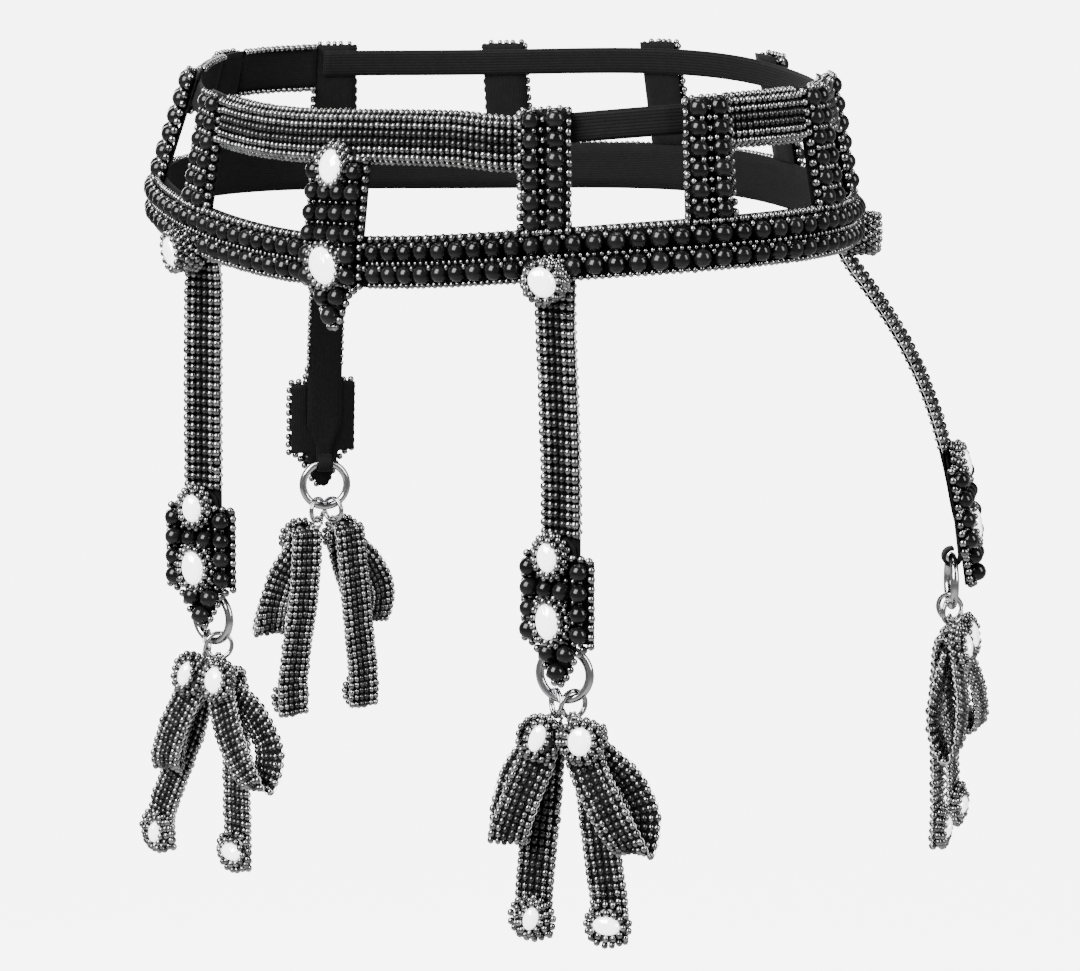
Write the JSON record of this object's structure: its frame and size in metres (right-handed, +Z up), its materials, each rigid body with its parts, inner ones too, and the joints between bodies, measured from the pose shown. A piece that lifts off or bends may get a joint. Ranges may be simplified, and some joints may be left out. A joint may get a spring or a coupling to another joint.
{
  "type": "beaded garter belt",
  "caption": "A beaded garter belt: two bead bands joined by posts, a pointed front tab with oval stones, and straps with bead plates, steel rings and folded bead bows.",
  "frame": {"origin": "the middle of the lower band's line, at the height of its upper bead row", "axes": "+X towards the wearer's left, +Y towards the wearer's back, +Z up; the front faces -Y"},
  "size_m": [0.3552, 0.2212, 0.3001],
  "materials": {
    "black_beads": "large round gloss black beads sewn in rows on black ribbon",
    "gunmetal_beads": "small glass seed beads with a dark steel-grey shine, with two black columns along each strip",
    "black_ribbon": "black woven elastic ribbon",
    "polished_steel": "smooth bright steel wire"
  },
  "bodies": {
    "belt": {"lower_band_front": "black_beads", "lower_band_back": "black_beads", "post_left_1": "black_beads", "post_left_2": "black_beads", "post_left_3": "black_beads", "post_left_4": "black_beads", "post_right_1": "black_beads", "post_right_2": "black_beads", "post_right_3": "black_beads", "post_right_4": "black_beads", "post_back_1": "black_beads", "post_back_2": "black_beads", "post_back_3": "black_beads", "upper_band_front_right": "gunmetal_beads", "upper_band_front_left": "gunmetal_beads", "upper_band_left_side": "gunmetal_beads", "upper_band_left_rear": "gunmetal_beads", "upper_band_right_side": "gunmetal_beads", "upper_band_right_rear": "gunmetal_beads", "elastic_left": "black_ribbon", "elastic_right": "black_ribbon", "elastic_back": "black_ribbon", "front_tab": "black_beads", "strap_front_right": "gunmetal_beads", "plate_front_right": "black_beads", "strap_rosette_front_right": "gunmetal_beads", "strap_front_left": "gunmetal_beads", "plate_front_left": "black_beads", "strap_rosette_front_left": "gunmetal_beads", "strap_rear_left": "gunmetal_beads", "plate_rear_left": "black_beads", "strap_rosette_rear_left": "gunmetal_beads", "strap_rear_right": "gunmetal_beads", "plate_rear_right": "black_beads", "strap_rosette_rear_right": "gunmetal_beads"},
    "swing_ring_front_right": {"ring_front_right": "polished_steel"},
    "hanging_bow_front_right_a": {"split_ring_front_right_a": "polished_steel", "bow_front_right_a": "gunmetal_beads"},
    "hanging_bow_front_right_b": {"split_ring_front_right_b": "polished_steel", "bow_front_right_b": "gunmetal_beads"},
    "swing_ring_front_left": {"ring_front_left": "polished_steel"},
    "hanging_bow_front_left_a": {"split_ring_front_left_a": "polished_steel", "bow_front_left_a": "gunmetal_beads"},
    "hanging_bow_front_left_b": {"split_ring_front_left_b": "polished_steel", "bow_front_left_b": "gunmetal_beads"},
    "swing_ring_rear_left": {"ring_rear_left": "polished_steel"},
    "hanging_bow_rear_left_a": {"split_ring_rear_left_a": "polished_steel", "bow_rear_left_a": "gunmetal_beads"},
    "hanging_bow_rear_left_b": {"split_ring_rear_left_b": "polished_steel", "bow_rear_left_b": "gunmetal_beads"},
    "swing_ring_rear_right": {"ring_rear_right": "polished_steel"},
    "hanging_bow_rear_right_a": {"split_ring_rear_right_a": "polished_steel", "bow_rear_right_a": "gunmetal_beads"},
    "hanging_bow_rear_right_b": {"split_ring_rear_right_b": "polished_steel", "bow_rear_right_b": "gunmetal_beads"}
  },
  "joints": [
    {"name": "ring_swing_front_right", "type": "hinge", "parent": "belt", "child": "swing_ring_front_right", "pos_m": [-0.06849, -0.08982, -0.1466], "axis": [0.9965, 0.0842, 0], "range_deg": [-8, 20]},
    {"name": "bow_swing_front_right_a", "type": "hinge", "parent": "swing_ring_front_right", "child": "hanging_bow_front_right_a", "pos_m": [-0.07168, -0.09009, -0.16402], "axis": [0.9965, 0.0842, 0], "range_deg": [-45, 20]},
    {"name": "bow_swing_front_right_b", "type": "hinge", "parent": "swing_ring_front_right", "child": "hanging_bow_front_right_b", "pos_m": [-0.0653, -0.08955, -0.16402], "axis": [0.9965, 0.0842, 0], "range_deg": [-45, 20]},
    {"name": "ring_swing_front_left", "type": "hinge", "parent": "belt", "child": "swing_ring_front_left", "pos_m": [0.10667, -0.07515, -0.14051], "axis": [0.8804, 0.4742, 0], "range_deg": [-8, 20]},
    {"name": "bow_swing_front_left_a", "type": "hinge", "parent": "swing_ring_front_left", "child": "hanging_bow_front_left_a", "pos_m": [0.10386, -0.07667, -0.15792], "axis": [0.8804, 0.4742, 0], "range_deg": [-45, 20]},
    {"name": "bow_swing_front_left_b", "type": "hinge", "parent": "swing_ring_front_left", "child": "hanging_bow_front_left_b", "pos_m": [0.10949, -0.07363, -0.15792], "axis": [0.8804, 0.4742, 0], "range_deg": [-45, 20]},
    {"name": "ring_swing_rear_left", "type": "hinge", "parent": "belt", "child": "swing_ring_rear_left", "pos_m": [0.13785, 0.08765, -0.12685], "axis": [-0.7682, 0.6402, 0], "range_deg": [-8, 20]},
    {"name": "bow_swing_rear_left_a", "type": "hinge", "parent": "swing_ring_rear_left", "child": "hanging_bow_rear_left_a", "pos_m": [0.14031, 0.0856, -0.14426], "axis": [-0.7682, 0.6402, 0], "range_deg": [-45, 20]},
    {"name": "bow_swing_rear_left_b", "type": "hinge", "parent": "swing_ring_rear_left", "child": "hanging_bow_rear_left_b", "pos_m": [0.13539, 0.08969, -0.14426], "axis": [-0.7682, 0.6402, 0], "range_deg": [-45, 20]},
    {"name": "ring_swing_rear_right", "type": "hinge", "parent": "belt", "child": "swing_ring_rear_right", "pos_m": [-0.17108, 0.05076, -0.12952], "axis": [-0.5396, -0.8419, 0], "range_deg": [-8, 20]},
    {"name": "bow_swing_rear_right_a", "type": "hinge", "parent": "swing_ring_rear_right", "child": "hanging_bow_rear_right_a", "pos_m": [-0.16935, 0.05345, -0.14693], "axis": [-0.5396, -0.8419, 0], "range_deg": [-45, 20]},
    {"name": "bow_swing_rear_right_b", "type": "hinge", "parent": "swing_ring_rear_right", "child": "hanging_bow_rear_right_b", "pos_m": [-0.1728, 0.04806, -0.14693], "axis": [-0.5396, -0.8419, 0], "range_deg": [-45, 20]}
  ]
}
